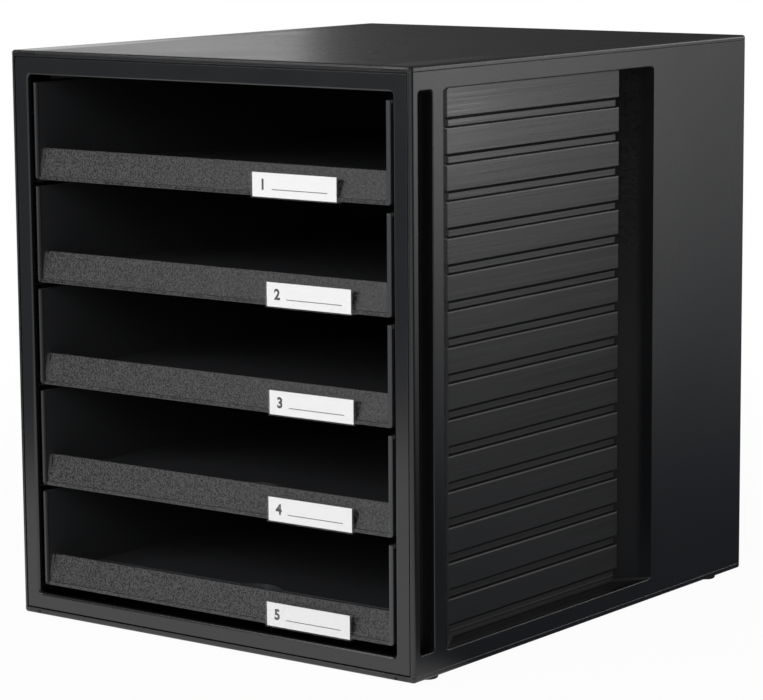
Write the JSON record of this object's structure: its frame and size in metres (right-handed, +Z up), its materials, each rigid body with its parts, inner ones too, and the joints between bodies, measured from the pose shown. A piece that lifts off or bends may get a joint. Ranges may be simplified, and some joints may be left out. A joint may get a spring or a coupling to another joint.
{
  "type": "desktop drawer unit",
  "caption": "Moulded plastic desktop cabinet with a stack of open, low-lipped letter trays that slide out of its front, clip-on label tabs and slatted side recesses.",
  "frame": {"origin": "centre of the footprint on the surface the feet stand on", "axes": "+Z up, +Y towards the back, the trays slide out along -Y, +X to the right seen from the front"},
  "size_m": [0.275, 0.33, 0.32],
  "materials": {
    "shell_plastic": "black moulded polystyrene with a fine spark-eroded grain",
    "frame_plastic": "black moulded polystyrene, satin",
    "tray_plastic": "black moulded polystyrene, coarse grain on the lip and glossy inside",
    "foot_plastic": "black moulded pad",
    "clear_plastic": "clear polished polystyrene",
    "card": "white paper card with a plain number"
  },
  "bodies": {
    "housing": {"top_panel": "shell_plastic", "bottom_panel": "shell_plastic", "left_side_panel": "shell_plastic", "right_side_panel": "shell_plastic", "back_panel": "shell_plastic", "front_frame": "frame_plastic", "foot_front_left": "foot_plastic", "foot_front_right": "foot_plastic", "foot_rear_left": "foot_plastic", "foot_rear_right": "foot_plastic"},
    "drawer_1": {"tray_1": "tray_plastic", "label_holder_1": "clear_plastic", "label_card_1": "card"},
    "drawer_2": {"tray_2": "tray_plastic", "label_holder_2": "clear_plastic", "label_card_2": "card"},
    "drawer_3": {"tray_3": "tray_plastic", "label_holder_3": "clear_plastic", "label_card_3": "card"},
    "drawer_4": {"tray_4": "tray_plastic", "label_holder_4": "clear_plastic", "label_card_4": "card"},
    "drawer_5": {"tray_5": "tray_plastic", "label_holder_5": "clear_plastic", "label_card_5": "card"}
  },
  "joints": [
    {"name": "tray_1_slide", "type": "slide", "parent": "housing", "child": "drawer_1", "axis": [0, -1, 0], "range_m": [0, 0.2318]},
    {"name": "tray_2_slide", "type": "slide", "parent": "housing", "child": "drawer_2", "axis": [0, -1, 0], "range_m": [0, 0.2318]},
    {"name": "tray_3_slide", "type": "slide", "parent": "housing", "child": "drawer_3", "axis": [0, -1, 0], "range_m": [0, 0.2318]},
    {"name": "tray_4_slide", "type": "slide", "parent": "housing", "child": "drawer_4", "axis": [0, -1, 0], "range_m": [0, 0.2318]},
    {"name": "tray_5_slide", "type": "slide", "parent": "housing", "child": "drawer_5", "axis": [0, -1, 0], "range_m": [0, 0.2318]}
  ]
}
